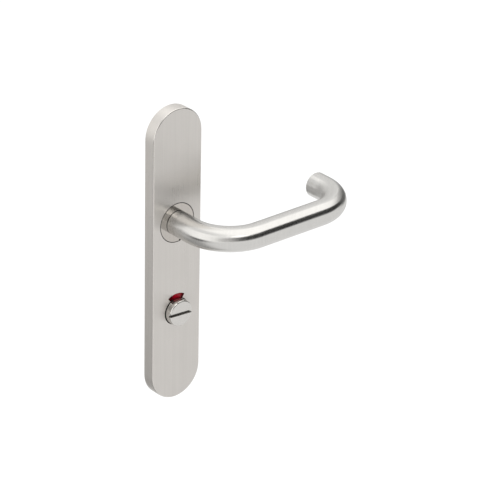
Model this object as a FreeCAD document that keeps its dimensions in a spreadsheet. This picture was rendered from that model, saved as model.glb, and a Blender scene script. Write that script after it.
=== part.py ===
"""Outside half of a lever handle set for a bathroom door: long plate, U-shaped lever, coin release.

Millimetres. X points along the lever, Z up, Y into the door. The origin lies on the spindle axis,
on the plane of the door's face. Heights below are measured from that plane towards the viewer (-Y).
"""
import FreeCAD, Part
import math
import os
from types import SimpleNamespace
import Sketcher
from FreeCAD import Placement, Rotation, Vector

SIZES = {
    # whole set: from the plate's free side to the lever's end, and spindle ends to grip
    "overall_width": 153.5,
    "overall_depth": 92.5,
    # long cover plate
    "plate_width": 44.0,
    "plate_height": 234.0,
    "plate_depth": 9.8,
    "plate_wall": 1.5,
    "plate_edge_radius": 0.9,
    "hole_edge_radius": 0.2,
    "height_below_axis": 144.0,
    "centre_distance": 72.0,
    # round insert that fills the hole through which the cover passes over the lever
    "disc_hole_diameter": 31.0,
    "disc_gap": 0.3,
    "disc_flange_diameter": 34.0,
    "disc_flange_thickness": 1.5,
    "pry_notch_width": 2.4,
    "pry_notch_depth": 0.9,
    "pry_notch_angle": -79.0,
    # tube of the lever
    "tube_diameter": 19.0,
    "tube_wall": 1.5,
    "neck_length": 17.3,
    "return_length": 10.0,
    "return_end": 21.5,
    "root_gap": 0.4,
    "tube_end_radius": 0.8,
    "end_plug_length": 5.5,
    "end_plug_wall": 1.5,
    # steel neck inside the tube, its bearing and what keeps it there
    "journal_diameter": 14.0,
    "journal_flats": 12.4,
    "socket_length": 16.0,
    "bush_wall": 1.5,
    "bush_lip_height": 0.3,
    "bush_flange_width": 1.7,
    "bush_flange_thickness": 1.0,
    "washer_thickness": 0.5,
    "circlip_thickness": 1.0,
    "circlip_width": 3.0,
    "circlip_mouth": 7.0,
    "groove_depth": 0.5,
    # square drive and its grub screw
    "square_drive": 8.0,
    "drive_clearance": 0.05,
    "lever_spindle_depth": 26.0,
    "spindle_projection": 22.0,
    "spindle_chamfer": 0.6,
    "grub_height": 19.0,
    "grub_diameter": 5.0,
    "grub_hex": 2.5,
    "grub_hex_depth": 2.0,
    "grub_clearance": 0.2,
    "grub_sink": 0.5,
    # return spring, its driver and the stops
    "lever_travel": 45.0,
    "driver_hub_wall": 1.35,
    "driver_flange_diameter": 20.8,
    "driver_flange_thickness": 1.0,
    "driver_lug_diameter": 24.6,
    "driver_lug_angle": 26.0,
    "stop_angle": 20.0,
    "stop_clearance_angle": 0.5,
    "stop_gap": 0.4,
    "stop_root": 0.1,
    "spring_pocket_diameter": 25.6,
    "spring_strip": 0.6,
    "spring_tang": 0.8,
    "spring_margin": 0.3,
    # base plate under the cover
    "base_thickness": 5.0,
    "base_gap": 0.3,
    "pocket_floor": 2.2,
    "rib_floor": 2.0,
    "rib_pocket_width": 27.0,
    "rib_pocket_height": 24.0,
    "small_pocket_height": 12.0,
    "door_screw_spacing": 210.0,
    "door_screw_hole": 4.5,
    "door_screw_sink": 8.6,
    "door_screw_sink_depth": 2.05,
    # posts that the through-bolts of the inside half screw into
    "post_spacing": 38.0,
    "post_diameter": 9.0,
    "post_shank_diameter": 7.6,
    "post_head_diameter": 10.0,
    "post_head_thickness": 1.2,
    "post_seat": 3.8,
    "post_projection": 14.0,
    "post_thread": 3.3,
    "post_thread_depth": 6.5,
    # screws that hold the insert to the base plate
    "disc_screw_circle": 29.2,
    "disc_screw_diameter": 2.4,
    "disc_screw_head": 4.4,
    "disc_screw_head_thickness": 1.2,
    "disc_screw_sink_depth": 1.6,
    "disc_screw_slot": 0.6,
    # spring clips that hold the cover
    "clip_width": 10.0,
    "clip_strip": 0.5,
    "clip_nose_radius": 0.6,
    "clip_depth": 2.8,
    "clip_seat": 1.1,
    "clip_offset": 77.0,
    # coin release
    "release_hole_diameter": 21.3,
    "release_diameter": 20.4,
    "release_height": 6.0,
    "release_sink": 0.4,
    "release_collar_diameter": 18.0,
    "release_edge_radius": 1.2,
    "slot_width": 2.4,
    "slot_depth": 2.0,
    "slot_tilt": -3.5,
    "release_travel": 90.0,
    "release_spindle_depth": 9.6,
    # indicator behind the window
    "window_diameter": 28.0,
    "window_angle": 64.0,
    "indicator_diameter": 31.0,
    "indicator_thickness": 1.2,
    "segment_thickness": 0.5,
    "segment_inner_diameter": 18.4,
    "segment_outer_diameter": 30.0,
    "segment_angle": 80.0,
    # detent of the coin release
    "release_boss_diameter": 34.0,
    "detent_depth": 4.5,
    "cam_square": 16.5,
    "cam_corner_diameter": 19.2,
    "detent_strip": 0.5,
    "detent_length": 24.0,
    "detent_room": 2.3,
    "cam_room": 0.6,
    "release_circlip_seat": 0.4,
    # running fits and small gaps
    "running_clearance": 0.05,
    "end_play": 0.1,
    "rear_clearance": 0.2,
    "axial_fit": 0.05,
}

doc = FreeCAD.newDocument("lever_handle_set")
sheet = doc.addObject("Spreadsheet::Sheet", "Sizes")
for row, (alias, number) in enumerate(SIZES.items(), start=1):
    sheet.set("A%d" % row, alias)
    sheet.set("B%d" % row, str(number))
    sheet.setAlias("B%d" % row, alias)
doc.recompute()


class Size:
    """A number together with the sheet expression that it comes from."""

    def __init__(self, value, text):
        self.value = value
        self.text = text

    def __add__(self, other):
        other = as_size(other)
        return Size(self.value + other.value, "(%s + %s)" % (self.text, other.text))

    def __sub__(self, other):
        other = as_size(other)
        return Size(self.value - other.value, "(%s - %s)" % (self.text, other.text))

    def __mul__(self, factor):
        return Size(self.value * factor, "(%s * %.9f)" % (self.text, factor))

    def __truediv__(self, divisor):
        return Size(self.value / divisor, "(%s / %.9f)" % (self.text, divisor))

    def __neg__(self):
        return Size(-self.value, "(0 - %s)" % self.text)


def as_size(number):
    """A plain number as a Size; a Size stays what it is."""
    return number if isinstance(number, Size) else Size(number, "(%.9f)" % number)


s = SimpleNamespace(**{alias: Size(number, "Sizes." + alias) for alias, number in SIZES.items()})
ZERO = as_size(0.0)
UPWARD = as_size(90.0)
SAME = 1e-6
NEAR = 1e-3
nodes = []


def kept(label, piece):
    """Marks a finished piece as a node of the part and gives it its name."""
    piece.Label = label
    nodes.append(piece)
    return piece


# Sketches

def pin(sketch, kind, geometry, point, size):
    """Fixes one coordinate of a sketch point to a size."""
    if size.value == 0:
        axis = -2 if kind == "DistanceX" else -1
        sketch.addConstraint(Sketcher.Constraint("PointOnObject", geometry, point, axis))
        return
    index = sketch.addConstraint(Sketcher.Constraint(kind, -1, 1, geometry, point, size.value))
    sketch.setExpression("Constraints[%d]" % index, size.text)


def drive(sketch, kind, geometry, size):
    """Binds a radius, diameter or direction of a sketch curve to a size."""
    value = math.radians(size.value) if kind == "Angle" else size.value
    index = sketch.addConstraint(Sketcher.Constraint(kind, geometry, value))
    sketch.setExpression("Constraints[%d]" % index, size.text)


def polygon(sketch, corners):
    """A closed outline through corners given as (across, up) sizes."""
    first = sketch.GeometryCount
    flat = [Vector(across.value, up.value, 0) for across, up in corners]
    count = len(flat)
    for i in range(count):
        sketch.addGeometry(Part.LineSegment(flat[i], flat[(i + 1) % count]))
    for i in range(count):
        before = first + (i - 1) % count
        sketch.addConstraint(Sketcher.Constraint("Coincident", before, 2, first + i, 1))
    for i, (across, up) in enumerate(corners):
        pin(sketch, "DistanceX", first + i, 1, across)
        pin(sketch, "DistanceY", first + i, 1, up)


def circle(sketch, diameter, across=ZERO, up=ZERO):
    ring = sketch.addGeometry(
        Part.Circle(Vector(across.value, up.value, 0), Vector(0, 0, 1), diameter.value / 2)
    )
    pin(sketch, "DistanceX", ring, 3, across)
    pin(sketch, "DistanceY", ring, 3, up)
    drive(sketch, "Diameter", ring, diameter)


def stadium(sketch, width, top_centre, bottom_centre):
    """A long outline with half-round ends, upright on the sketch's vertical axis."""
    r, up, down = width.value / 2, top_centre.value, bottom_centre.value
    normal = Vector(0, 0, 1)
    top = sketch.addGeometry(
        Part.ArcOfCircle(Part.Circle(Vector(0, up, 0), normal, r), 0, math.pi)
    )
    left = sketch.addGeometry(Part.LineSegment(Vector(-r, up, 0), Vector(-r, down, 0)))
    bottom = sketch.addGeometry(
        Part.ArcOfCircle(Part.Circle(Vector(0, down, 0), normal, r), math.pi, 2 * math.pi)
    )
    right = sketch.addGeometry(Part.LineSegment(Vector(r, down, 0), Vector(r, up, 0)))
    order = [top, left, bottom, right]
    for here, after in zip(order, order[1:] + order[:1]):
        sketch.addConstraint(Sketcher.Constraint("Tangent", here, 2, after, 1))
    for arc, centre in ((top, top_centre), (bottom, bottom_centre)):
        sketch.addConstraint(Sketcher.Constraint("PointOnObject", arc, 3, -2))
        pin(sketch, "DistanceY", arc, 3, centre)
    sketch.addConstraint(Sketcher.Constraint("Vertical", left))
    drive(sketch, "Radius", top, width / 2)


def wedge(sketch, diameter, angle, up):
    """A slice of a disc, symmetric about the upward direction from its centre."""
    half = angle / 2
    first, second = UPWARD - half, UPWARD + half
    centre, r = Vector(0, up.value, 0), diameter.value / 2
    start, end = math.radians(first.value), math.radians(second.value)
    arc = sketch.addGeometry(
        Part.ArcOfCircle(Part.Circle(centre, Vector(0, 0, 1), r), start, end)
    )
    tips = [centre + Vector(r * math.cos(a), r * math.sin(a), 0) for a in (start, end)]
    sides = [sketch.addGeometry(Part.LineSegment(centre, tip)) for tip in tips]
    for point, (side, direction) in enumerate(zip(sides, (first, second)), start=1):
        sketch.addConstraint(Sketcher.Constraint("Coincident", side, 1, arc, 3))
        sketch.addConstraint(Sketcher.Constraint("Coincident", side, 2, arc, point))
        drive(sketch, "Angle", side, direction)
    sketch.addConstraint(Sketcher.Constraint("PointOnObject", arc, 3, -2))
    pin(sketch, "DistanceY", arc, 3, up)
    drive(sketch, "Radius", arc, diameter / 2)


# Bodies and their features

def new_body(label):
    return doc.addObject("PartDesign::Body", label)


def new_sketch(body, role, height=ZERO):
    """A sketch on one of the body's own planes. Height moves one on the door's plane outwards."""
    plane = [f for f in body.Origin.OriginFeatures if f.Role == role][0]
    sketch = body.newObject("Sketcher::SketchObject", body.Name + "_sketch")
    sketch.AttachmentSupport = [(plane, "")]
    sketch.MapMode = "FlatFace"
    if height is not ZERO:
        sketch.setExpression("AttachmentOffset.Base.z", height.text)
    return sketch


def pad(body, draw, low, high):
    """Material between two heights above the door, with the outline that draw makes."""
    sketch = new_sketch(body, "XZ_Plane", low)
    draw(sketch)
    feature = body.newObject("PartDesign::Pad", body.Name + "_pad")
    feature.Profile = sketch
    feature.setExpression("Length", (high - low).text)
    return feature


def pocket(body, draw, low, high):
    """A recess between two heights above the door."""
    doc.recompute()
    sketch = new_sketch(body, "XZ_Plane", low)
    draw(sketch)
    feature = body.newObject("PartDesign::Pocket", body.Name + "_pocket")
    feature.Profile = sketch
    feature.Reversed = True
    feature.setExpression("Length", (high - low).text)
    return feature


def cross_hole(body, diameter, height, across, drop):
    """A round hole downwards from the axis, at a height above the door."""
    doc.recompute()
    sketch = new_sketch(body, "XY_Plane")
    circle(sketch, diameter, across, -height)
    feature = body.newObject("PartDesign::Pocket", body.Name + "_hole")
    feature.Profile = sketch
    feature.setExpression("Length", drop.text)
    return feature


def lathe(name, profile, angle=None):
    """A piece turned about Y from (radius, height) corners, a full turn or a centred slice."""
    body = new_body(name)
    sketch = new_sketch(body, "XY_Plane")
    polygon(sketch, [(radius, -height) for radius, height in profile])
    turn = body.newObject("PartDesign::Revolution", name + "_turn")
    turn.Profile = sketch
    turn.ReferenceAxis = (sketch, ["V_Axis"])
    if angle is None:
        turn.Angle = 360
    else:
        turn.Midplane = True
        turn.setExpression("Angle", angle.text)
    return body


def ring_profile(inner, outer, low, high):
    """Corners of a plain ring, from its diameters and heights."""
    return [(inner / 2, low), (outer / 2, low), (outer / 2, high), (inner / 2, high)]


def round_edges(body, radius, chosen):
    """Rounds the edges of the body's last feature that chosen picks."""
    doc.recompute()
    base = body.Tip
    names = ["Edge%d" % (i + 1) for i, edge in enumerate(base.Shape.Edges) if chosen(edge)]
    feature = body.newObject("PartDesign::Fillet", body.Name + "_round")
    feature.Base = (base, names)
    feature.setExpression("Radius", radius.text)
    return feature


def at_height(edge, height):
    """Whether the whole edge lies in the plane at a height above the door."""
    return all(abs(p.y + height.value) < SAME for p in edge.discretize(5))


def move(piece, x=None, y=None, z=None):
    """Places a piece by sizes along the frame's axes."""
    for axis, size in (("x", x), ("y", y), ("z", z)):
        if size is not None:
            piece.setExpression("Placement.Base." + axis, size.text)
    return piece


def spin(piece, angle):
    """Turns a piece about Y so that its X side points at an angle above the lever's side."""
    piece.Placement = Placement(Vector(), Rotation(Vector(0, 1, 0), -angle.value))
    piece.setExpression("Placement.Rotation.Angle", (-angle).text)
    return piece


# Plain solids and booleans

def rod(diameter, low, high, x=ZERO, z=ZERO):
    """A round bar across the door between two heights."""
    bar = doc.addObject("Part::Cylinder", "rod")
    bar.Placement = Placement(Vector(), Rotation(Vector(1, 0, 0), 90))
    bar.setExpression("Radius", (diameter / 2).text)
    bar.setExpression("Height", (high - low).text)
    return move(bar, x, -low, z)


def countersink(small, large, low, high, z):
    """A cone that widens outwards between two heights."""
    cone = doc.addObject("Part::Cone", "countersink")
    cone.Placement = Placement(Vector(), Rotation(Vector(1, 0, 0), 90))
    cone.setExpression("Radius1", (small / 2).text)
    cone.setExpression("Radius2", (large / 2).text)
    cone.setExpression("Height", (high - low).text)
    return move(cone, y=-low, z=z)


def upright_rod(diameter, bottom, top, height):
    """A round bar along Z between two levels, at a height above the door."""
    bar = doc.addObject("Part::Cylinder", "upright_rod")
    bar.setExpression("Radius", (diameter / 2).text)
    bar.setExpression("Height", (top - bottom).text)
    return move(bar, y=-height, z=bottom)


def block(left, right, low, high, bottom, top):
    """A box between two heights above the door."""
    box = doc.addObject("Part::Box", "block")
    box.setExpression("Length", (right - left).text)
    box.setExpression("Width", (high - low).text)
    box.setExpression("Height", (top - bottom).text)
    return move(box, left, -high, bottom)


def fuse(*pieces):
    joined = doc.addObject("Part::MultiFuse", "fuse")
    joined.Shapes = list(pieces)
    joined.Refine = True
    return joined


def common(first, second):
    shared = doc.addObject("Part::MultiCommon", "common")
    shared.Shapes = [first, second]
    return shared


def cut(base, *tools):
    """The base without its tools."""
    rest = doc.addObject("Part::Cut", "cut")
    rest.Base = base
    rest.Tool = tools[0] if len(tools) == 1 else fuse(*tools)
    rest.Refine = True
    return rest


def group(pieces):
    """Separate solids that share one node."""
    together = doc.addObject("Part::Compound", "group")
    together.Links = pieces
    return together


# Heights of the stacks above the door, shared by the pieces that meet there

front = s.plate_depth
sheet_back = front - s.plate_wall
disc_back = sheet_back - s.disc_flange_thickness
top_centre = s.plate_height - s.height_below_axis - s.plate_width / 2
bottom_centre = s.plate_width / 2 - s.height_below_axis
plate_middle = (top_centre + bottom_centre) / 2
release_z = -s.centre_distance
journal_bore = s.journal_diameter + s.running_clearance * 2
drive_hole = s.square_drive + s.drive_clearance * 2
tube_bore = s.tube_diameter - s.tube_wall * 2
groove_diameter = s.journal_diameter - s.groove_depth * 2
root = front + s.root_gap
grip_length = s.overall_width - (s.plate_width + s.tube_diameter) / 2
grip_reach = s.overall_depth - s.spindle_projection - s.tube_diameter / 2
neck_bend_radius = grip_reach - root - s.neck_length
return_bend_radius = grip_reach - s.return_end - s.return_length

lever_washer_top = disc_back - s.axial_fit
lever_circlip_top = lever_washer_top - s.washer_thickness - s.axial_fit
driver_top = lever_circlip_top - s.circlip_thickness - s.end_play
driver_flange_back = driver_top - s.driver_flange_thickness
driver_back = s.pocket_floor + s.end_play

indicator_top = sheet_back - s.end_play
indicator_back = indicator_top - s.indicator_thickness
release_seat = indicator_back - s.end_play
release_washer_top = s.detent_depth - s.axial_fit
release_circlip_back = s.release_circlip_seat
release_circlip_top = release_circlip_back + s.circlip_thickness
cam_top = release_washer_top - s.washer_thickness - s.axial_fit
cam_back = release_circlip_top + s.end_play


def drive_square(low, high, z=ZERO):
    """The square hole that takes a spindle."""
    half = drive_hole / 2
    return block(-half, half, low, high, z - half, z + half)


def flats_cutters(low, high, z=ZERO):
    """What a shaft loses to its two flats, one block at each side."""
    far, near = s.journal_diameter, s.journal_flats / 2
    bottom, top = z - far, z + far
    return [
        block(near, far, low, high, bottom, top),
        block(-far, -near, low, high, bottom, top),
    ]


def keyed_hole(low, high, z=ZERO):
    """A hole that a shaft with two flats turns."""
    half = s.journal_flats / 2 + s.running_clearance
    tall = s.journal_diameter
    return common(
        rod(journal_bore, low, high, z=z), block(-half, half, low, high, z - tall, z + tall)
    )


def circlip(low, z=ZERO):
    """An open retaining ring that sits in a shaft's groove."""
    high = low + s.circlip_thickness
    inner = groove_diameter + s.running_clearance * 2
    outer = inner + s.circlip_width * 2
    ring = cut(rod(outer, low, high, z=z), rod(inner, low, high, z=z))
    mouth = s.circlip_mouth / 2
    opening = block(-mouth, mouth, low, high, z - outer, z)
    return cut(ring, opening)


def washer(high, outer, z=ZERO):
    low = high - s.washer_thickness
    return cut(rod(outer, low, high, z=z), rod(journal_bore, low, high, z=z))


# Cover plate and the round insert in it

def cover_plate():
    body = new_body("cover_shell")
    pad(body, lambda k: stadium(k, s.plate_width, top_centre, bottom_centre), ZERO, front)
    round_edges(body, s.plate_edge_radius, lambda edge: at_height(edge, front))
    inside = s.plate_width - s.plate_wall * 2
    pocket(body, lambda k: stadium(k, inside, top_centre, bottom_centre), ZERO, sheet_back)
    pocket(body, lambda k: circle(k, s.disc_hole_diameter), ZERO, front)
    pocket(body, lambda k: circle(k, s.release_hole_diameter, up=release_z), ZERO, front)
    pocket(body, lambda k: wedge(k, s.window_diameter, s.window_angle, release_z), ZERO, front)

    def around_hole(edge):
        holes = ((0, s.disc_hole_diameter), (release_z.value, s.window_diameter))
        reach = [
            max(math.hypot(p.x, p.z - level) for p in edge.discretize(5)) - size.value / 2
            for level, size in holes
        ]
        return at_height(edge, front) and min(reach) < s.plate_wall.value / 4

    round_edges(body, s.hole_edge_radius, around_hole)
    return kept("cover_plate", body)


def disc_screw_places():
    """Centres of the insert's four screws, on the diagonals."""
    diagonal = math.radians(45)
    step = s.disc_screw_circle / 2 * math.cos(diagonal)
    return [(step * a, step * b) for a in (1, -1) for b in (1, -1)]


def rose_disc():
    rim = s.disc_hole_diameter - s.disc_gap * 2
    bore = journal_bore + s.bush_wall * 2
    seat = bore + s.bush_flange_width * 2
    seat_top = disc_back + s.bush_flange_thickness
    body = lathe(
        "disc_blank",
        [
            (bore / 2, front),
            (rim / 2, front),
            (rim / 2, sheet_back),
            (s.disc_flange_diameter / 2, sheet_back),
            (s.disc_flange_diameter / 2, disc_back),
            (seat / 2, disc_back),
            (seat / 2, seat_top),
            (bore / 2, seat_top),
        ],
    )
    rim_length = 2 * math.pi * rim.value / 2
    round_edges(
        body,
        s.hole_edge_radius,
        lambda edge: at_height(edge, front) and abs(edge.Length - rim_length) < NEAR,
    )
    holes = [
        rod(s.disc_screw_diameter, disc_back, sheet_back, x, z) for x, z in disc_screw_places()
    ]
    half = s.pry_notch_width / 2
    notch_left = rim / 2 - s.pry_notch_depth
    notch = block(notch_left, rim, front - s.pry_notch_depth, front + s.root_gap, -half, half)
    notch = spin(group([notch]), s.pry_notch_angle)
    return kept("rose_disc", cut(body, notch, *holes))


def neck_bush():
    outer = journal_bore + (s.bush_wall - s.axial_fit) * 2
    flange = journal_bore + (s.bush_wall + s.bush_flange_width - s.axial_fit) * 2
    lip = journal_bore + s.bush_wall * 2 + s.bush_lip_height
    lip_top = front + s.bush_lip_height
    flange_top = disc_back + s.bush_flange_thickness
    flange_back = disc_back + s.axial_fit
    bush = lathe(
        "bush_turned",
        [
            (journal_bore / 2, flange_back),
            (flange / 2, flange_back),
            (flange / 2, flange_top),
            (outer / 2, flange_top),
            (outer / 2, front),
            (lip / 2, front),
            (lip / 2, lip_top),
            (journal_bore / 2, lip_top),
        ],
    )
    return kept("neck_bush", bush)


# Lever

def lever_tube():
    body = new_body("tube_pipe")
    section = new_sketch(body, "XZ_Plane", root)
    circle(section, s.tube_diameter)
    circle(section, tube_bore)
    path = new_sketch(body, "XY_Plane")
    lever_path(path)
    doc.recompute()
    pipe = body.newObject("PartDesign::AdditivePipe", "tube_sweep")
    pipe.Profile = section
    pipe.Spine = (path, ["Edge%d" % (i + 1) for i in range(path.GeometryCount)])
    cross_hole(body, s.grub_diameter + s.grub_clearance, s.grub_height, ZERO, s.tube_diameter)

    middle_length = math.pi * (tube_bore + s.tube_wall).value

    def outer_end(edge):
        return at_height(edge, s.return_end) and edge.Length > middle_length

    round_edges(body, s.tube_end_radius, outer_end)
    return kept("lever_tube", body)


def lever_path(path):
    """Centre line of the lever: out of the plate, along the grip and back towards the door."""
    first, second = neck_bend_radius.value, return_bend_radius.value
    grip, end_x, end_y = -grip_reach.value, grip_length.value, -s.return_end.value
    normal = Vector(0, 0, 1)
    bend_1 = Part.Circle(Vector(first, grip + first, 0), normal, first)
    bend_2 = Part.Circle(Vector(end_x - second, grip + second, 0), normal, second)
    path.addGeometry(Part.LineSegment(Vector(0, -root.value, 0), Vector(0, grip + first, 0)))
    path.addGeometry(Part.ArcOfCircle(bend_1, math.pi, 1.5 * math.pi))
    path.addGeometry(Part.LineSegment(Vector(first, grip, 0), Vector(end_x - second, grip, 0)))
    path.addGeometry(Part.ArcOfCircle(bend_2, 1.5 * math.pi, 2 * math.pi))
    path.addGeometry(
        Part.LineSegment(Vector(end_x, grip + second, 0), Vector(end_x, end_y, 0))
    )
    for run in range(4):
        path.addConstraint(Sketcher.Constraint("Tangent", run, 2, run + 1, 1))
    path.addConstraint(Sketcher.Constraint("Vertical", 0))
    path.addConstraint(Sketcher.Constraint("Horizontal", 2))
    path.addConstraint(Sketcher.Constraint("Vertical", 4))
    pin(path, "DistanceX", 0, 1, ZERO)
    pin(path, "DistanceY", 0, 1, -root)
    pin(path, "DistanceY", 2, 1, -grip_reach)
    pin(path, "DistanceX", 4, 1, grip_length)
    pin(path, "DistanceY", 4, 2, -s.return_end)
    drive(path, "Radius", 1, neck_bend_radius)
    drive(path, "Radius", 3, return_bend_radius)


def lever_end_cap():
    """A cup pressed into the tube's open end, flush with it."""
    outer = tube_bore - s.running_clearance * 2
    inner = outer - s.end_plug_wall * 2
    face, deep = s.return_end, s.return_end + s.end_plug_length
    cup = lathe(
        "cap_turned",
        [
            (ZERO, face),
            (outer / 2, face),
            (outer / 2, deep),
            (inner / 2, deep),
            (inner / 2, face + s.end_plug_wall),
            (ZERO, face + s.end_plug_wall),
        ],
    )
    return kept("lever_end_cap", move(cup, x=grip_length))


def neck_socket():
    """Steel insert that the tube sits on, turned down to the journal behind the tube's root."""
    head = tube_bore / 2 - s.running_clearance
    shaft, groove = s.journal_diameter / 2, groove_diameter / 2
    groove_top = lever_circlip_top + s.axial_fit
    groove_back = lever_circlip_top - s.circlip_thickness - s.axial_fit
    end = s.rear_clearance
    body = lathe(
        "socket_blank",
        [
            (ZERO, root + s.socket_length),
            (head, root + s.socket_length),
            (head, root),
            (shaft, root),
            (shaft, groove_top),
            (groove, groove_top),
            (groove, groove_back),
            (shaft, groove_back),
            (shaft, end),
            (ZERO, end),
        ],
    )
    square = drive_square(end, root + s.socket_length)
    thread = upright_rod(s.grub_diameter, -s.tube_diameter / 2, ZERO, s.grub_height)
    return kept("neck_socket", cut(body, square, thread, *flats_cutters(end, groove_back)))


def lever_grub_screw():
    diameter = s.grub_diameter - s.running_clearance * 2
    top = -(s.square_drive / 2 + s.running_clearance)
    bottom = -(s.tube_diameter / 2 - s.grub_sink)
    hexagon = doc.addObject("Part::Prism", "hex_recess")
    hexagon.Polygon = 6
    hexagon.setExpression("Circumradius", (s.grub_hex / math.sqrt(3)).text)
    hexagon.setExpression("Height", s.grub_hex_depth.text)
    move(hexagon, y=-s.grub_height, z=bottom)
    screw = upright_rod(diameter, bottom, top, s.grub_height)
    return kept("lever_grub_screw", cut(screw, hexagon))


def square_spindle(label, deep, z=ZERO):
    """A square bar with chamfered ends, from inside its piece to behind the door's face."""
    half = s.square_drive / 2
    low = -s.spindle_projection
    bar = block(-half, half, low, deep, z - half, z + half)
    doc.recompute()
    eased = doc.addObject("Part::Chamfer", "eased")
    eased.Base = bar
    ends = []
    for i, edge in enumerate(bar.Shape.Edges):
        if at_height(edge, low) or at_height(edge, deep):
            ends.append((i + 1, s.spindle_chamfer.value, s.spindle_chamfer.value))
    eased.Edges = ends
    return kept(label, eased)


# Return spring and what drives it

def spring_driver():
    """Flange keyed to the journal, with a lug that runs between the stops."""
    hub = journal_bore + s.driver_hub_wall * 2
    lug_root = s.driver_flange_diameter - s.driver_flange_thickness
    middle = UPWARD + s.lever_travel / 2
    lug = lathe(
        "driver_lug",
        ring_profile(lug_root, s.driver_lug_diameter, driver_flange_back, driver_top),
        s.driver_lug_angle,
    )
    body = fuse(
        rod(s.driver_flange_diameter, driver_flange_back, driver_top),
        rod(hub, driver_back, driver_flange_back),
        spin(lug, middle),
    )
    half = s.spring_tang / 2
    slot = block(
        hub / 2 - s.spring_tang, hub, driver_back, driver_flange_back, -half, half
    )
    return kept("spring_driver", cut(body, keyed_hole(driver_back, driver_top), slot))


def return_spring():
    """Flat spiral strip between the driver's hub and the wall of its pocket, hooked into both."""
    hub = journal_bore.value / 2 + s.driver_hub_wall.value
    wall = s.spring_pocket_diameter.value / 2
    strip, play, hook = s.spring_strip.value, s.end_play.value, s.spring_tang.value
    margin = strip / 2 + s.spring_margin.value
    inner, outer = hub + margin, wall - margin
    low, high = driver_back.value, driver_flange_back.value - play
    half_turns = 5
    step = (outer - inner) / half_turns

    def half_turn(turn, offset):
        """One half circle of the strip's edge. Each is centred half a step beside the last."""
        side = 1 if turn % 2 == 0 else -1
        centre = Vector(-side * step / 2, -low, 0)
        reach = side * (inner + step * (2 * turn + 1) / 2 + offset)
        sideways, upwards = Vector(reach, 0, 0), Vector(0, 0, reach)
        return Part.Arc(centre + sideways, centre + upwards, centre - sideways).toShape()

    outside = [half_turn(turn, strip / 2) for turn in range(half_turns)]
    inside = [half_turn(turn, -strip / 2) for turn in range(half_turns)]
    ends = [
        Part.LineSegment(outside[i].Vertexes[i].Point, inside[i].Vertexes[i].Point).toShape()
        for i in (0, -1)
    ]
    outline = Part.Wire(Part.__sortEdges__(outside + inside + ends))
    coil = Part.Face(outline).extrude(Vector(0, low - high, 0))

    def hooked_end(start, end):
        thick = hook - play
        corner = Vector(start, -high, -thick / 2)
        return Part.makeBox(end - start, high - low, thick, corner)

    ends = [
        hooked_end(hub - hook + play, inner),
        hooked_end(-(wall + hook - play), -outer),
    ]
    feature = doc.addObject("Part::Feature", "spring_strip")
    feature.Shape = coil.fuse(ends).removeSplitter()
    feature.Placement = Placement()
    return kept("return_spring", feature)


# Base plate

def stop_lugs():
    """Two lugs on the pocket's wall that end the lever's travel."""
    inner = s.driver_flange_diameter + s.stop_gap * 2
    outer = s.spring_pocket_diameter + s.stop_root * 2
    reach = s.driver_lug_angle / 2 + s.stop_clearance_angle + s.stop_angle / 2
    lugs = []
    for side in (1, -1):
        angle = UPWARD + (s.lever_travel / 2 + reach) * side
        lug = lathe(
            "stop_lug", ring_profile(inner, outer, driver_flange_back, driver_top), s.stop_angle
        )
        lugs.append(spin(lug, angle))
    return lugs


def rib_pockets():
    """Shallow recesses in the front of the base plate between its bosses."""
    half = s.rib_pocket_width / 2
    above = (top_centre + s.post_spacing / 2 + s.post_head_diameter / 2) / 2
    middle = release_z / 2 - s.post_head_diameter / 4
    below = (release_z + bottom_centre) / 2 - s.post_head_diameter / 2
    pockets = []
    small = s.small_pocket_height
    for centre, height in ((above, s.rib_pocket_height), (middle, small), (below, small)):
        reach = height / 2
        pockets.append(
            block(-half, half, s.rib_floor, s.base_thickness, centre - reach, centre + reach)
        )
    return pockets


def clip_places():
    """Side and level of each spring clip."""
    levels = (plate_middle + s.clip_offset, plate_middle - s.clip_offset)
    return [(side, level) for side in (1, -1) for level in levels]


def base_plate():
    width = s.plate_width - (s.plate_wall + s.base_gap) * 2
    slab = new_body("base_slab")
    pad(slab, lambda k: stadium(k, width, top_centre, bottom_centre), ZERO, s.base_thickness)
    solid = fuse(
        slab,
        rod(s.disc_flange_diameter, ZERO, disc_back),
        rod(s.release_boss_diameter, ZERO, release_seat, z=release_z),
    )
    tools = [
        rod(s.spring_pocket_diameter, s.pocket_floor, disc_back),
        rod(journal_bore, ZERO, s.pocket_floor),
        spring_anchor_slot(),
        rod(journal_bore, s.detent_depth, release_seat, z=release_z),
        *detent_pocket(),
        *rib_pockets(),
    ]
    for side in (1, -1):
        z = s.post_spacing / 2 * side
        tools.append(rod(s.post_diameter, ZERO, s.post_seat, z=z))
        tools.append(
            rod(s.post_head_diameter + s.end_play * 2, s.post_seat, disc_back, z=z)
        )
        z = plate_middle + s.door_screw_spacing / 2 * side
        sink = s.base_thickness - s.door_screw_sink_depth
        tools.append(rod(s.door_screw_hole, ZERO, s.base_thickness, z=z))
        tools.append(
            countersink(s.door_screw_hole, s.door_screw_sink, sink, s.base_thickness, z)
        )
    for x, z in disc_screw_places():
        hole = s.disc_screw_diameter + s.end_play * 2
        tools.append(rod(hole, ZERO, disc_back, x, z))
        head = s.disc_screw_head + s.end_play * 2
        tools.append(rod(head, ZERO, s.disc_screw_sink_depth, x, z))
    for side, level in clip_places():
        reach = s.clip_width / 2 + s.end_play
        outer, inner = width / 2 + s.base_gap, width / 2 - s.clip_depth - s.end_play
        left, right = (inner, outer) if side > 0 else (-outer, -inner)
        tools.append(
            block(left, right, s.clip_seat, s.base_thickness, level - reach, level + reach)
        )
    return kept("base_plate", fuse(cut(solid, *tools), *stop_lugs()))


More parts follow.
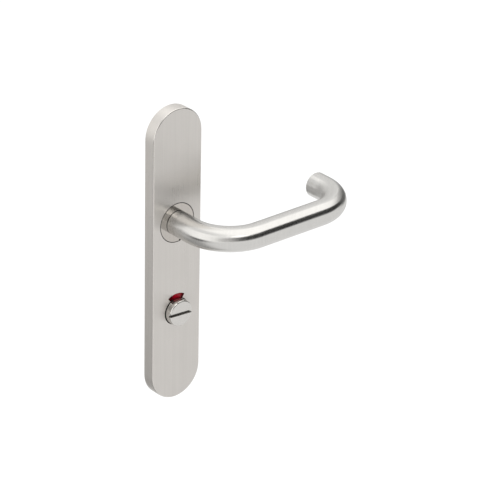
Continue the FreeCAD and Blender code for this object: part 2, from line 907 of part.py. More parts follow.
def spring_anchor_slot():
    """The slot in the pocket's wall that holds the spring's outer end."""
    half = s.spring_tang / 2
    wall = s.spring_pocket_diameter / 2
    return block(
        -(wall + s.spring_tang), -(wall - s.spring_tang),
        driver_back, driver_flange_back, -half, half,
    )


def detent_pocket():
    """Room behind the release's bearing for the cam, the leaf and the circlip."""
    leaf_top = release_z - s.cam_square / 2 - s.end_play
    leaf_back = leaf_top - s.detent_strip
    room = leaf_back - s.detent_room
    half = s.detent_length / 2
    inner = half - s.detent_room
    return [
        rod(s.cam_corner_diameter + s.cam_room * 2, ZERO, s.detent_depth, z=release_z),
        block(-inner, inner, ZERO, s.detent_depth, room, release_z),
        block(
            -half - s.end_play, half + s.end_play, ZERO, cam_top + s.end_play,
            leaf_back - s.end_play, leaf_top + s.end_play,
        ),
    ]


def support_posts():
    """Threaded posts through the base plate, which reach into the door beside the lock."""
    posts = []
    for side in (1, -1):
        z = s.post_spacing / 2 * side
        head_top = s.post_seat + s.post_head_thickness
        post = fuse(
            rod(s.post_diameter - s.axial_fit * 2, ZERO, s.post_seat, z=z),
            rod(s.post_shank_diameter, -s.post_projection, ZERO, z=z),
            rod(s.post_head_diameter, s.post_seat, head_top, z=z),
        )
        thread_end = s.post_thread_depth - s.post_projection
        posts.append(cut(post, rod(s.post_thread, -s.post_projection, thread_end, z=z)))
    return kept("support_posts", group(posts))


def disc_screws():
    """Small screws from the back of the base plate into the insert's flange."""
    screws = []
    head_top = s.disc_screw_sink_depth
    head_back = head_top - s.disc_screw_head_thickness
    half = s.disc_screw_slot / 2
    for x, z in disc_screw_places():
        shank = s.disc_screw_diameter - s.axial_fit * 2
        screw = fuse(
            rod(s.disc_screw_head, head_back, head_top, x, z),
            rod(shank, head_top, sheet_back - s.end_play, x, z),
        )
        reach = s.disc_screw_head / 2
        slot = block(
            x - reach, x + reach, head_back, head_back + s.disc_screw_head_thickness / 2,
            z - half, z + half,
        )
        screws.append(cut(screw, slot))
    return kept("bearing_screws", group(screws))


def cover_clips():
    """Bent strips in the sides of the base plate that press against the cover's walls."""
    clips = []
    half_width = s.plate_width / 2 - s.plate_wall - s.base_gap
    low, high = s.clip_seat, s.base_thickness - s.end_play
    for side, level in clip_places():
        reach = s.clip_width / 2
        bottom, top = level - reach, level + reach

        def strip(near, far, back, face):
            left, right = (near, far) if side > 0 else (-far, -near)
            return block(left, right, back, face, bottom, top)

        inner = half_width - s.clip_depth
        outer = half_width - s.base_gap
        nose = s.clip_nose_radius
        bump = upright_rod(nose * 2, bottom, top, (low + high) / 2)
        middle = outer + s.base_gap * 2 - s.axial_fit - nose
        clip = fuse(
            strip(inner, inner + s.clip_strip, low, high),
            strip(inner, outer, low, low + s.clip_strip),
            strip(outer - s.clip_strip, outer, low, high),
            move(bump, x=middle * side),
        )
        clips.append(clip)
    return kept("cover_clips", group(clips))


# Coin release

def release_knob():
    head, hub = s.release_diameter / 2, s.journal_diameter / 2
    face, back = front + s.release_height, front - s.release_sink
    collar, groove = s.release_collar_diameter / 2, groove_diameter / 2
    groove_top, groove_back = (
        release_circlip_top + s.axial_fit,
        release_circlip_back - s.axial_fit,
    )
    end = s.rear_clearance
    body = lathe(
        "knob_blank",
        [
            (ZERO, face),
            (head, face),
            (head, back),
            (collar, back),
            (collar, indicator_top),
            (hub, indicator_top),
            (hub, groove_top),
            (groove, groove_top),
            (groove, groove_back),
            (hub, groove_back),
            (hub, end),
            (ZERO, end),
        ],
    )
    round_edges(body, s.release_edge_radius, lambda edge: at_height(edge, face))
    move(body, z=release_z)
    half = s.slot_width / 2
    slot = block(
        -s.release_diameter, s.release_diameter,
        face - s.slot_depth, face + s.slot_depth, -half, half,
    )
    slot = move(spin(group([slot]), s.slot_tilt), z=release_z)
    square = drive_square(end, s.release_spindle_depth, release_z)
    flats = flats_cutters(end, indicator_top, release_z)
    return kept("release_knob", cut(body, slot, square, *flats))


def indicator_disc():
    """Carrier behind the cover with a recess for each coloured segment."""
    floor = indicator_top - s.segment_thickness
    recess = cut(
        rod(s.segment_outer_diameter, floor, indicator_top, z=release_z),
        rod(s.segment_inner_diameter, floor, indicator_top, z=release_z),
    )
    disc = rod(s.indicator_diameter, indicator_back, indicator_top, z=release_z)
    key = keyed_hole(indicator_back, indicator_top, release_z)
    return kept("indicator_disc", cut(disc, recess, key))


def indicator_segment(label, middle):
    """A coloured inlay of the carrier, centred on an angle above the lever's side."""
    inner = s.segment_inner_diameter + s.axial_fit * 2
    outer = s.segment_outer_diameter - s.axial_fit * 2
    low = indicator_top - s.segment_thickness
    inlay = lathe(
        label + "_slice", ring_profile(inner, outer, low, indicator_top), s.segment_angle
    )
    return kept(label, move(spin(inlay, middle), z=release_z))


def detent_cam():
    """Square cam on the release's shaft, with its corners turned down."""
    half = s.cam_square / 2
    square = block(-half, half, cam_back, cam_top, release_z - half, release_z + half)
    cam = common(square, rod(s.cam_corner_diameter, cam_back, cam_top, z=release_z))
    return kept("detent_cam", cut(cam, keyed_hole(cam_back, cam_top, release_z)))


def detent_spring():
    """Straight leaf under the cam, which its corners push down."""
    half = s.detent_length / 2
    top = release_z - s.cam_square / 2 - s.end_play
    leaf = block(-half, half, cam_back, cam_top, top - s.detent_strip, top)
    return kept("detent_spring", leaf)


cover_plate()
rose_disc()
neck_bush()
lever_tube()
lever_end_cap()
neck_socket()
lever_grub_screw()
square_spindle("lever_spindle", s.lever_spindle_depth)
spring_driver()
return_spring()
washer_outer = journal_bore + (s.bush_wall + s.bush_flange_width) * 2
kept("thrust_washer", washer(lever_washer_top, washer_outer))
kept("lever_circlip", circlip(lever_circlip_top - s.circlip_thickness))
base_plate()
support_posts()
disc_screws()
cover_clips()
release_knob()
indicator_disc()
indicator_segment("occupied_segment", UPWARD)
indicator_segment("vacant_segment", UPWARD + s.release_travel)
detent_cam()
detent_spring()
kept("release_washer", washer(release_washer_top, s.release_collar_diameter, release_z))
kept("release_circlip", circlip(release_circlip_back, release_z))
square_spindle("release_spindle", s.release_spindle_depth - s.running_clearance, release_z)

doc.recompute()
faults = [o.Name for o in doc.Objects if "Invalid" in o.State or "Error" in o.State]
for piece in nodes:
    if piece.Shape.isNull() or not piece.Shape.isValid() or not piece.Shape.Solids:
        faults.append(piece.Label)
if faults:
    raise RuntimeError("not built: " + ", ".join(faults))

os.makedirs("parts", exist_ok=True)
for piece in nodes:
    piece.Shape.exportStep("parts/%s.step" % piece.Label)
    box = piece.Shape.BoundBox
    print("%-18s solids %d volume %9.1f  x %7.2f %7.2f  y %7.2f %7.2f  z %8.2f %8.2f" % (
        piece.Label, len(piece.Shape.Solids), piece.Shape.Volume,
        box.XMin, box.XMax, box.YMin, box.YMax, box.ZMin, box.ZMax,
    ))
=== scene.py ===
"""Looks of the door lever handle set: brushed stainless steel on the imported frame.

Metres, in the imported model's axes: X along the lever, Z up, Y into the door. The finishes
are worked out in millimetres, from each point's place on the piece at rest.
"""

import math

import bpy
from mathutils import Matrix, Vector

PER_MM = 1000.0

# Sockets of the Mix node for vectors: factor, first and second, and its result

VECTOR_MIX_INPUTS = (0, 4, 5)
VECTOR_MIX_OUTPUT = 1

# Camera: direction from the axis of the lever, then where it aims in its own picture plane

CAMERA_AZIMUTH = -40.34
CAMERA_ELEVATION = 26.59
CAMERA_ROLL = 1.21
CAMERA_DISTANCE = 2.2348
CAMERA_SIGHT = 50
AIM_RIGHT = 0.05945
AIM_UP = -0.0221
LENS = 221.59
SENSOR = 36.0

# Centre line of the lever tube, in millimetres

NECK_BEND_X = 33.5
NECK_BEND_Y = -27.5
NECK_BEND_RADIUS = 33.5
RETURN_BEND_X = 92.5
RETURN_BEND_Y = -31.5
RETURN_BEND_RADIUS = 29.5
GRIP_MIDDLE = 61.0

# Plate, joint round the insert, and coin release with its slot, in millimetres

PLATE_FRONT_Y = -9.8
JOINT_RADIUS = 15.35
LEVER_Z = 0.0
RELEASE_Z = -72.0
RELEASE_FLAT_RADIUS = 9.2
SLOT_FLOOR_Y = -13.8

# Noise: the range that its values fill, and the features in a millimetre of each kind

NOISE_LOW = 0.3
NOISE_HIGH = 0.7
COLUMNS = 0.09
BROAD = 0.45
MIDDLE = 1.7
FINE = 5.0
CLOUD = 0.05

# Brushed grain: how the noise is drawn out along its lines, where less is longer

GRAIN_LENGTH = 0.006
RIM_LENGTH = 0.04
RING_LENGTH = 0.6
ROUND_LENGTH = 0.03

# Tangents: share along the plate's face, and slant along the axis of a turned piece

FACE_TANGENT = 0.05
LATHE_SLANT = 0.5

# Where the rim and the rounded edge start and end, on a scale from 0 on a rim to 1 on a face

RIM_FROM_FACE = (0.9, 0.6)
EDGE_FROM_FACE = (0.995, 0.95)
EDGE_FROM_RIM = (0.1, 0.4)

# Brushed steel: how far tone and roughness vary, and its relief, with the distance in metres

BROAD_TONE = 0.015
FINE_TONE = 0.02
STREAK_ROUGHNESS = 0.02
CLOUD_ROUGHNESS = 0.015
FINE_RELIEF = 0.6
MIDDLE_RELIEF = 0.4
GRAIN_BUMP = 0.12
GRAIN_BUMP_DISTANCE = 0.00003

# Painted shade in the joint, on the floor of the slot and at the knob's foot: strength, then
# millimetres

JOINT_PAINTED_SHADE = 0.98
JOINT_REACH = 0.5
JOINT_FADE = 0.05
JOINT_DEPTH = 0.06
SLOT_PAINTED_SHADE = 0.2
SLOT_DEPTH = 1.0
SLOT_FADE = 0.3
FOOT_PAINTED_SHADE = 0.7
FOOT_START = 0.9
FOOT_END = 0.3

# Plating and nylon: a fine skin on cloudy tone, with the distance of its relief in metres

SKIN_FINENESS = 12
CLOUD_DETAIL = 4.0
SKIN_TONE = 0.03
MOTTLED_ROUGHNESS = 0.05
SKIN_BUMP_DISTANCE = 0.00005
MOTTLED_GLOSS = 0.5

# Enamel of the indicator: where the painted shade at its ends starts, the tone there, and its
# clouds and skin

SEGMENT_END = math.cos(math.radians(26.0))
SEGMENT_MIDDLE = math.cos(math.radians(8.0))
SEGMENT_END_PAINTED_SHADE_TONE = 0.2
ENAMEL_CLOUD = 0.9
ENAMEL_CLOUD_DETAIL = 3.0
ENAMEL_TONE = 0.06
ENAMEL_SKIN = 2.0
ENAMEL_ROUGHNESS = 0.26
ENAMEL_ROUGHNESS_SPREAD = 0.04
ENAMEL_GLOSS = 0.25

# Colours of the finishes

PLATE_STEEL = (0.632, 0.606, 0.575)
DISC_STEEL = (0.500, 0.470, 0.436)
TUBE_STEEL = (0.622, 0.612, 0.592)
KNOB_STEEL = (0.620, 0.604, 0.580)
INNER_STEEL = (0.58, 0.58, 0.58)
ZINC = (0.50, 0.51, 0.53)
BLACKENED = (0.075, 0.075, 0.08)
HARDENED = (0.30, 0.31, 0.33)
NYLON = (0.022, 0.022, 0.024)
RED = (0.45, 0.003, 0.018)
GREEN = (0.02, 0.26, 0.07)

# Room: height and size of the floor in metres, then the colours and strengths of light

FLOOR_Z = -0.42
FLOOR_SIZE = 14.0
FLOOR_COLOUR = (0.82, 0.82, 0.81, 1.0)
FLOOR_FILL = 0.8
FLOOR_LIFT = 1.16
ROOM_WHITE = (1.0, 1.0, 1.0, 1.0)
ROOM_SOFT = 0.62
CARD_TINT = (1.0, 0.995, 0.985)

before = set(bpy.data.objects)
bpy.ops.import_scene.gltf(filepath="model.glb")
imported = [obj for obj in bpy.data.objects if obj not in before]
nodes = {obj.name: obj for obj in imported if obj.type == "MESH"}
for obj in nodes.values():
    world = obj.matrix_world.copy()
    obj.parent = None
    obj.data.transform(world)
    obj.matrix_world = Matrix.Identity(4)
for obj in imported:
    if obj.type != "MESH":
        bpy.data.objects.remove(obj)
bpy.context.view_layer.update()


# Directions and places

def direction(azimuth, elevation):
    """Unit vector; azimuth 0 points at the viewer's side (-Y) and 90 along +X."""
    turn, lift = math.radians(azimuth), math.radians(elevation)
    level = math.cos(lift)
    return Vector((math.sin(turn) * level, -math.cos(turn) * level, math.sin(lift)))


def looking(back):
    """Right and up of a view whose camera lies along back."""
    right = (-back).cross(Vector((0, 0, 1))).normalized()
    return right, back.cross(right)


def placed(place, own_x, own_y, own_z):
    """The matrix of an object at a place, with its own axes along three directions."""
    return Matrix.Translation(place) @ Matrix((own_x, own_y, own_z)).transposed().to_4x4()


def new_object(name, data):
    """An object in the scene."""
    made = bpy.data.objects.new(name, data)
    bpy.context.scene.collection.objects.link(made)
    return made


def place_camera():
    """A camera at the photograph's viewing angle."""
    back = direction(CAMERA_AZIMUTH, CAMERA_ELEVATION)
    right, up = looking(back)
    place = right * AIM_RIGHT + up * AIM_UP + back * CAMERA_DISTANCE
    roll = math.radians(CAMERA_ROLL)
    across = right * math.cos(roll) + up * math.sin(roll)
    upward = up * math.cos(roll) - right * math.sin(roll)
    data = bpy.data.cameras.new("camera")
    data.lens = LENS
    data.sensor_width = SENSOR
    data.clip_end = CAMERA_SIGHT
    camera = new_object("camera", data)
    camera.matrix_world = placed(place, across, upward, back)
    bpy.context.scene.camera = camera


# Node trees

class Tree:
    """Short calls for one node tree."""

    def __init__(self, tree):
        self.tree = tree

    def put(self, socket, value):
        """A socket set to a value, or linked to where the value comes from."""
        if isinstance(value, bpy.types.NodeSocket):
            self.tree.links.new(value, socket)
        elif value is not None:
            socket.default_value = value

    def add(self, kind, settings=None, **inputs):
        """A node with its settings, and its sockets set or linked by name."""
        made = self.tree.nodes.new("ShaderNode" + kind)
        for name, value in (settings or {}).items():
            setattr(made, name, value)
        for name, value in inputs.items():
            self.put(made.inputs[name.replace("_", " ")], value)
        return made

    def fill(self, made, *values):
        """A node's first sockets set or linked in their order."""
        for socket, value in zip(made.inputs, values):
            self.put(socket, value)
        return made.outputs[0]

    def math(self, operation, first, second=None, third=None):
        return self.fill(self.add("Math", {"operation": operation}), first, second, third)

    def vector(self, operation, first, second=None):
        return self.fill(self.add("VectorMath", {"operation": operation}), first, second)

    def split(self, vector):
        return self.add("SeparateXYZ", Vector=vector).outputs

    def join(self, x, y, z):
        return self.add("CombineXYZ", X=x, Y=y, Z=z).outputs[0]

    def length(self, first, second):
        """The length of a straight line, from how far it goes in two square directions."""
        squares = (self.math("MULTIPLY", side, side) for side in (first, second))
        return self.math("SQRT", self.math("ADD", *squares))

    def ease(self, value, start, end):
        """0 at start and 1 at end, with a soft passage between them."""
        return self.add(
            "MapRange", {"interpolation_type": "SMOOTHSTEP"}, Value=value, From_Min=start,
            From_Max=end,
        ).outputs[0]

    def noise(self, vector, scale, detail=2.0):
        """Noise whose features are about 1 / scale wide."""
        return self.add("TexNoise", Vector=vector, Scale=scale, Detail=detail).outputs[0]

    def vary(self, noise, middle, spread):
        """A value that follows a noise, as far as spread to each side of its middle."""
        return self.add(
            "MapRange", Value=noise, From_Min=NOISE_LOW, From_Max=NOISE_HIGH,
            To_Min=middle - spread, To_Max=middle + spread,
        ).outputs[0]

    def toned(self, colour, factor):
        """A colour times a factor near 1."""
        return self.vector("MULTIPLY", colour, self.join(factor, factor, factor))

    def mix_vectors(self, factor, first, second):
        """The first vector where the factor is 0, and the second where it is 1."""
        made = self.add("Mix", {"data_type": "VECTOR"})
        for index, value in zip(VECTOR_MIX_INPUTS, (factor, first, second)):
            self.put(made.inputs[index], value)
        return made.outputs[VECTOR_MIX_OUTPUT]

    def mix_shaders(self, factor, first, second):
        """The first shader where the factor is 0, and the second where it is 1."""
        return self.fill(self.add("MixShader"), factor, first, second)

    def emission(self, colour, strength):
        return self.add("Emission", Color=colour, Strength=strength).outputs[0]

    def millimetres(self):
        """Place on the piece at rest, in millimetres."""
        place = self.add("TexCoord").outputs["Object"]
        return self.add("VectorMath", {"operation": "SCALE"}, Vector=place, Scale=PER_MM).outputs[0]

    def own_normal(self):
        """The surface's direction on the piece at rest."""
        return self.add(
            "VectorTransform",
            {"vector_type": "NORMAL", "convert_from": "WORLD", "convert_to": "OBJECT"},
            Vector=self.add("NewGeometry").outputs["Normal"],
        ).outputs[0]

    def turned(self, vector):
        """A direction on the piece as a direction in the room, after the joints have moved it."""
        return self.add(
            "VectorTransform",
            {"vector_type": "VECTOR", "convert_from": "OBJECT", "convert_to": "WORLD"},
            Vector=vector,
        ).outputs[0]


def cleared(owner, output_kind):
    """The emptied node tree of a material or world, and the socket that takes its result."""
    owner.use_nodes = True
    owner.node_tree.nodes.clear()
    t = Tree(owner.node_tree)
    return t, t.add(output_kind).inputs[0]


def material(name, labels):
    """A node material on the named CAD nodes, with a bare shader to fill in."""
    made = bpy.data.materials.new(name)
    t, surface = cleared(made, "OutputMaterial")
    shader = t.add("BsdfPrincipled")
    t.put(surface, shader.outputs[0])
    for label in labels:
        mesh = nodes[label].data
        mesh.materials.clear()
        mesh.materials.append(made)
    return t, shader


# Grains: each gives where to read the noise, so that it runs along the lines, and the tangent

def off_axis(t, place, centre_z):
    """Across, along, up and straight out from an axis along Y at a height."""
    x, y, z = t.split(place)
    height = t.math("SUBTRACT", z, centre_z)
    return x, y, height, t.length(x, height)


def plate_grain(t, place):
    """Brushed up and down on the face and along the rim. The tangent follows the outline."""
    x, y, z = t.split(place)
    aside, inwards, upwards = t.split(t.own_normal())
    on_rim = t.ease(t.math("ABSOLUTE", inwards), *RIM_FROM_FACE)
    face = t.join(x, y, t.math("MULTIPLY", z, GRAIN_LENGTH))
    rim = t.join(t.math("MULTIPLY", x, RIM_LENGTH), y, t.math("MULTIPLY", z, RIM_LENGTH))
    tangent = t.join(t.math("SUBTRACT", FACE_TANGENT, upwards), 0.0, aside)
    return t.mix_vectors(on_rim, face, rim), tangent


def disc_grain(t, place):
    """Brushed up and down, with the tangent across."""
    x, y, z = t.split(place)
    streaks = t.join(x, y, t.math("MULTIPLY", z, GRAIN_LENGTH))
    return streaks, t.join(1.0, 0.0, 0.0)


def tube_grain(t, place):
    """Ground round the bent tube, with the tangent along it."""
    x, y, z = t.split(place)
    before = t.math("MAXIMUM", t.math("SUBTRACT", NECK_BEND_X, x), 0.0)
    after = t.math("MAXIMUM", t.math("SUBTRACT", x, RETURN_BEND_X), 0.0)
    is_return = t.math("GREATER_THAN", x, GRIP_MIDDLE)
    bend_y = t.math("MULTIPLY_ADD", is_return, RETURN_BEND_Y - NECK_BEND_Y, NECK_BEND_Y)
    radius = t.math(
        "MULTIPLY_ADD", is_return, RETURN_BEND_RADIUS - NECK_BEND_RADIUS, NECK_BEND_RADIUS
    )
    sideways = t.math("SUBTRACT", after, before)
    outwards = t.math("MAXIMUM", t.math("SUBTRACT", bend_y, y), 0.0)
    off_line = t.math("SUBTRACT", t.length(sideways, outwards), radius)
    along = t.math("SUBTRACT", x, y)
    streaks = t.join(
        t.math("MULTIPLY", off_line, ROUND_LENGTH), t.math("MULTIPLY", z, ROUND_LENGTH), along
    )
    return streaks, t.join(outwards, sideways, 0.0)


def turned_grain(centre_z):
    """Turned on a lathe about Y: rings on a face, lines round a rim."""

    def grain(t, place):
        x, y, height, reach = off_axis(t, place, centre_z)
        angle = t.math("MULTIPLY", t.math("ARCTAN2", x, height), RING_LENGTH)
        return t.join(reach, y, angle), t.join(x, t.math("MULTIPLY", reach, LATHE_SLANT), height)

    return grain


# Painted shades, which darken the base colour: 0 on open surfaces, and more where less light comes

def joint_painted_shade(t, place):
    """Painted shade: darkens the colour in the narrow joint between the plate and the round insert.
    """
    _, y, _, reach = off_axis(t, place, LEVER_Z)
    off_joint = t.math("ABSOLUTE", t.math("SUBTRACT", reach, JOINT_RADIUS))
    near = t.ease(off_joint, JOINT_REACH + JOINT_FADE, JOINT_REACH)
    deep = t.ease(y, PLATE_FRONT_Y, PLATE_FRONT_Y + JOINT_DEPTH)
    return t.math("MULTIPLY", t.math("MULTIPLY", near, deep), JOINT_PAINTED_SHADE)


def knob_painted_shade(t, place):
    """Painted shade: darkens the colour on the floor of the coin slot, and round the foot of the
    knob at the plate.
    """
    _, y, _, reach = off_axis(t, place, RELEASE_Z)
    deep = t.ease(y, SLOT_FLOOR_Y - SLOT_DEPTH, SLOT_FLOOR_Y)
    inside = t.ease(reach, RELEASE_FLAT_RADIUS, RELEASE_FLAT_RADIUS - SLOT_FADE)
    floor = t.math("MULTIPLY", deep, inside)
    foot = t.ease(y, PLATE_FRONT_Y - FOOT_START, PLATE_FRONT_Y - FOOT_END)
    return t.math(
        "MAXIMUM", t.math("MULTIPLY", floor, SLOT_PAINTED_SHADE), t.math("MULTIPLY", foot, FOOT_PAINTED_SHADE)
    )


# Finishes

def brushed(
    name, labels, colour, roughness, anisotropy, grain, depth=1.0, edge=None, shade=None
):
    """Brushed metal. Depth is that of the grain's relief, and edge is the roughness of the
    rounded edge between face and rim."""
    t, shader = material(name, labels)
    place = t.millimetres()
    streaks, tangent = grain(t, place)
    broad = t.noise(streaks, BROAD)
    middle = t.noise(streaks, MIDDLE)
    fine = t.noise(streaks, FINE)
    columns = t.noise(streaks, COLUMNS)
    cloud = t.noise(place, CLOUD)
    tone = t.math(
        "MULTIPLY",
        t.math("MULTIPLY", t.vary(broad, 1.0, BROAD_TONE), t.vary(middle, 1.0, FINE_TONE)),
        t.math("MULTIPLY", t.vary(fine, 1.0, FINE_TONE), t.vary(columns, 1.0, BROAD_TONE)),
    )
    # Painted shade: the shade function darkens the base colour where less light comes
    if shade is not None:
        tone = t.math("MULTIPLY", tone, t.math("SUBTRACT", 1.0, shade(t, place)))
    rough = t.math(
        "ADD",
        t.vary(middle, roughness, STREAK_ROUGHNESS),
        t.vary(cloud, 0.0, CLOUD_ROUGHNESS),
    )
    if edge is not None:
        slope = t.math("ABSOLUTE", t.split(t.own_normal())[1])
        on_edge = t.math(
            "MULTIPLY", t.ease(slope, *EDGE_FROM_FACE), t.ease(slope, *EDGE_FROM_RIM)
        )
        rough = t.math("MULTIPLY_ADD", on_edge, edge - roughness, rough)
    relief = t.math(
        "ADD", t.math("MULTIPLY", fine, FINE_RELIEF), t.math("MULTIPLY", middle, MIDDLE_RELIEF)
    )
    bump = t.add(
        "Bump", Height=relief, Strength=GRAIN_BUMP * depth, Distance=GRAIN_BUMP_DISTANCE
    )
    t.put(shader.inputs["Base Color"], t.toned(colour, tone))
    t.put(shader.inputs["Roughness"], rough)
    t.put(shader.inputs["Tangent"], t.turned(tangent))
    t.put(shader.inputs["Normal"], bump.outputs[0])
    shader.inputs["Metallic"].default_value = 1.0
    shader.inputs["Anisotropic"].default_value = anisotropy


def mottled(name, labels, colour, metallic, roughness, spot, contrast, relief):
    """A surface with cloudy tone and a fine skin, for plating and nylon."""
    t, shader = material(name, labels)
    place = t.millimetres()
    cloud = t.noise(place, spot, CLOUD_DETAIL)
    skin = t.noise(place, spot * SKIN_FINENESS)
    tone = t.math("MULTIPLY", t.vary(cloud, 1.0, contrast), t.vary(skin, 1.0, SKIN_TONE))
    bump = t.add("Bump", Height=skin, Strength=relief, Distance=SKIN_BUMP_DISTANCE)
    t.put(shader.inputs["Base Color"], t.toned(colour, tone))
    t.put(shader.inputs["Roughness"], t.vary(cloud, roughness, MOTTLED_ROUGHNESS))
    t.put(shader.inputs["Normal"], bump.outputs[0])
    shader.inputs["Metallic"].default_value = metallic
    shader.inputs["Specular IOR Level"].default_value = MOTTLED_GLOSS


def enamel(name, label, colour, to_x, to_z):
    """Gloss paint of an indicator segment, with painted shade that darkens it towards its two ends.

    From the axis of the release, the middle of the segment lies towards (to_x, to_z).
    """
    t, shader = material(name, [label])
    place = t.millimetres()
    x, _, height, reach = off_axis(t, place, RELEASE_Z)
    towards = t.math("ADD", t.math("MULTIPLY", x, to_x), t.math("MULTIPLY", height, to_z))
    # Painted shade: darker towards the two ends of the segment, full tone in its middle
    middle = t.ease(t.math("DIVIDE", towards, reach), SEGMENT_END, SEGMENT_MIDDLE)
    cloud = t.vary(t.noise(place, ENAMEL_CLOUD, ENAMEL_CLOUD_DETAIL), 1.0, ENAMEL_TONE)
    painted_shade_factor = t.math("MULTIPLY_ADD", middle, 1 - SEGMENT_END_PAINTED_SHADE_TONE, SEGMENT_END_PAINTED_SHADE_TONE)
    rough = t.vary(t.noise(place, ENAMEL_SKIN), ENAMEL_ROUGHNESS, ENAMEL_ROUGHNESS_SPREAD)
    t.put(shader.inputs["Base Color"], t.toned(colour, t.math("MULTIPLY", cloud, painted_shade_factor)))
    t.put(shader.inputs["Roughness"], rough)
    shader.inputs["Specular IOR Level"].default_value = ENAMEL_GLOSS


# Room: a pale floor, soft lamps, and cards that only mirrors show

def ray_kinds(t):
    """1 for rays straight from the camera, and 1 for those that come by a mirror or a lens."""
    path = t.add("LightPath").outputs
    mirror = t.math("MAXIMUM", path["Is Glossy Ray"], path["Is Transmission Ray"])
    return path["Is Camera Ray"], mirror


def white_world():
    """White behind the object and in mirrors, and softer as a light."""
    world = bpy.data.worlds.new("world")
    bpy.context.scene.world = world
    t, surface = cleared(world, "OutputWorld")
    strength = t.math("MAXIMUM", t.math("MAXIMUM", *ray_kinds(t)), ROOM_SOFT)
    t.put(surface, t.add("Background", Color=ROOM_WHITE, Strength=strength).outputs[0])


def flat_piece(name, width, height, build):
    """An upright rectangle in its own XZ plane, centred, facing -Y. Build makes its shader."""
    w, h = width / 2, height / 2
    mesh = bpy.data.meshes.new(name)
    corners = [(-w, 0, -h), (w, 0, -h), (w, 0, h), (-w, 0, h)]
    mesh.from_pydata(corners, [], [(0, 1, 2, 3)])
    piece = new_object(name, mesh)
    made = bpy.data.materials.new(name)
    t, surface = cleared(made, "OutputMaterial")
    t.put(surface, build(t))
    mesh.materials.append(made)
    return piece


def pale_floor():
    """A level floor below the object."""

    def build(t):
        """Matt for light, white in mirrors, and white with a matt share for the camera."""
        camera, mirror = ray_kinds(t)
        matt = t.add("BsdfDiffuse", Color=FLOOR_COLOUR).outputs[0]
        seen = t.mix_shaders(FLOOR_FILL, matt, t.emission(ROOM_WHITE, FLOOR_LIFT))
        direct = t.mix_shaders(camera, matt, seen)
        return t.mix_shaders(mirror, direct, t.emission(ROOM_WHITE, 1.0))

    floor = flat_piece("floor", FLOOR_SIZE, FLOOR_SIZE, build)
    flat = Matrix.Rotation(math.radians(-90), 4, "X")
    floor.matrix_world = Matrix.Translation((0, 0, FLOOR_Z)) @ flat


def lamp(name, azimuth, elevation, distance, width, height, strength):
    """A soft rectangular lamp that faces the object. The cards stand for it in mirrors."""
    data = bpy.data.lights.new(name, "AREA")
    data.shape = "RECTANGLE"
    data.size, data.size_y = width, height
    data.energy = strength * math.pi * width * height
    made = new_object(name, data)
    back = direction(azimuth, elevation)
    right, up = looking(back)
    made.matrix_world = placed(back * distance, right, up, back)
    made.visible_camera = False
    made.visible_glossy = False


def card(name, facing, distance, across, upright, soft, shade):
    """A sheet with soft edges that only mirrors show, square to a direction from the axis.

    Facing is that direction's azimuth and elevation. Across and upright say where its two
    sides and its lower and upper edges lie, for a viewer at the card who looks at the axis.
    """
    (left_end, right_end), (low, high) = across, upright
    width, height = right_end - left_end, high - low

    def build(t):
        x, _, z = t.split(t.add("TexCoord").outputs["Object"])
        beside = t.ease(t.math("ABSOLUTE", x), width / 2, width / 2 - soft)
        above = t.ease(t.math("ABSOLUTE", z), height / 2, height / 2 - soft)
        colour = tuple(shade * part for part in CARD_TINT) + (1.0,)
        clear = t.add("BsdfTransparent").outputs[0]
        return t.mix_shaders(t.math("MULTIPLY", beside, above), clear, t.emission(colour, 1.0))

    piece = flat_piece(name, width, height, build)
    back = direction(*facing)
    right, up = looking(back)
    middle = back * distance + right * (left_end + right_end) / 2 + up * (low + high) / 2
    piece.matrix_world = placed(middle, right, -back, up)
    piece.visible_camera = False
    piece.visible_diffuse = False
    piece.visible_transmission = False
    piece.visible_shadow = False


# Finishes of the outer pieces

brushed(
    "plate_steel", ["cover_plate"], PLATE_STEEL, roughness=0.3, anisotropy=1.0,
    grain=plate_grain, depth=0.3, edge=0.1, shade=joint_painted_shade,
)
brushed(
    "disc_steel", ["rose_disc"], DISC_STEEL, roughness=0.14, anisotropy=0.3,
    grain=disc_grain, depth=0.2, shade=joint_painted_shade,
)
brushed(
    "tube_steel", ["lever_tube"], TUBE_STEEL, roughness=0.24, anisotropy=0.9,
    grain=tube_grain, depth=0.2,
)
brushed(
    "cap_steel", ["lever_end_cap"], TUBE_STEEL, roughness=0.3, anisotropy=0.3,
    grain=turned_grain(LEVER_Z),
)
brushed(
    "knob_steel", ["release_knob"], KNOB_STEEL, roughness=0.26, anisotropy=0.5,
    grain=turned_grain(RELEASE_Z), edge=0.12, shade=knob_painted_shade,
)

# Finishes of the inner pieces

brushed(
    "turned_steel", ["neck_socket", "thrust_washer", "release_washer"], INNER_STEEL,
    roughness=0.25, anisotropy=0.5, grain=turned_grain(LEVER_Z),
)
mottled(
    "zinc_plating", ["support_posts", "bearing_screws", "lever_spindle", "release_spindle"],
    ZINC, metallic=1.0, roughness=0.34, spot=0.5, contrast=0.08, relief=0.15,
)
mottled(
    "black_steel", ["lever_grub_screw", "spring_driver", "detent_cam"],
    BLACKENED, metallic=1.0, roughness=0.42, spot=0.4, contrast=0.1, relief=0.2,
)
mottled(
    "spring_steel",
    ["return_spring", "detent_spring", "lever_circlip", "release_circlip", "cover_clips"],
    HARDENED, metallic=1.0, roughness=0.3, spot=0.5, contrast=0.08, relief=0.1,
)
mottled(
    "black_nylon", ["neck_bush", "base_plate", "indicator_disc"],
    NYLON, metallic=0.0, roughness=0.5, spot=0.25, contrast=0.15, relief=0.35,
)
enamel("red_enamel", "occupied_segment", RED, to_x=0.14, to_z=0.99)
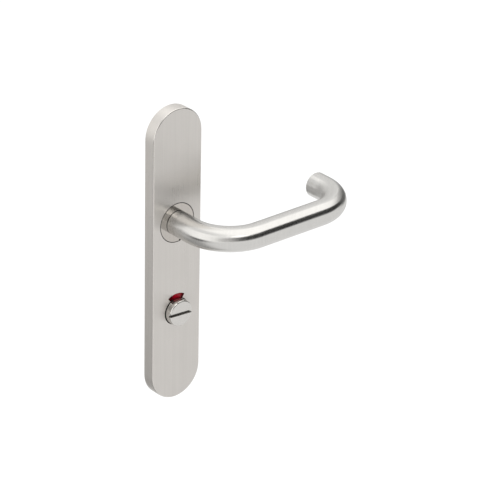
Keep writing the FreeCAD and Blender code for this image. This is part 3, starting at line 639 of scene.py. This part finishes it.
enamel("green_enamel", "vacant_segment", GREEN, to_x=-1.0, to_z=0.0)

place_camera()
white_world()
pale_floor()

# Lamps: azimuth, elevation, distance, width, height, strength

lamp("lamp_top", -15.0, 72.0, 1.5, 2.2, 1.8, 1.5)
lamp("lamp_left", -85.0, 18.0, 1.6, 1.4, 1.3, 1.4)

# Cards: facing, distance, left and right, low and high, width of the soft edge, shade

card("card_top", (0.0, 89.0), 1.7, (-1.0, 2.8), (-2.8, 0.95), 0.6, 1.62)
card("card_left", (-85.0, 0.0), 1.5, (-1.4, 0.9), (-0.36, 1.7), 0.3, 1.45)
card("card_grey", (-15.0, 0.0), 1.5, (-1.5, 0.9), (-0.02, 1.02), 0.15, 0.66)
card("card_dark", (15.0, 0.0), 1.2, (-1.05, 5.2), (0.05, 1.08), 0.14, 0.02)
card("card_right", (108.0, 0.0), 1.3, (-0.8, 0.28), (-0.35, 0.8), 0.2, 0.2)
card("card_back_right", (155.0, 0.0), 1.6, (-1.1, 1.1), (-0.3, 1.1), 0.3, 0.88)
card("card_back_left", (-160.0, 0.0), 0.45, (-0.6, 0.6), (-0.42, 0.06), 0.12, 0.66)
card("card_side_left", (-108.0, 0.0), 0.9, (-0.6, 0.55), (-0.43, -0.06), 0.08, 0.08)
card("card_floor_left", (0.0, -89.0), 0.41, (-2.2, 0.02), (-1.2, 0.12), 0.1, 0.42)
card("card_behind_left", (180.0, 0.0), 0.15, (0.10, 0.45), (0.02, 0.26), 0.03, 1.25)
card("card_behind_top", (180.0, 0.0), 0.16, (-0.16, 0.05), (0.215, 0.45), 0.03, 1.8)
card("card_behind_middle", (180.0, 0.0), 0.15, (-0.12, 0.12), (-0.16, 0.14), 0.07, 0.54)
card("card_behind_low", (140.0, -12.0), 0.8, (-0.45, 0.45), (-0.35, 0.25), 0.12, 0.4)
card("card_top_left", (0.0, 89.0), 1.65, (-0.9, 0.2), (-2.1, -1.2), 0.25, 3.0)

view = bpy.context.scene.view_settings
view.view_transform = "Standard"
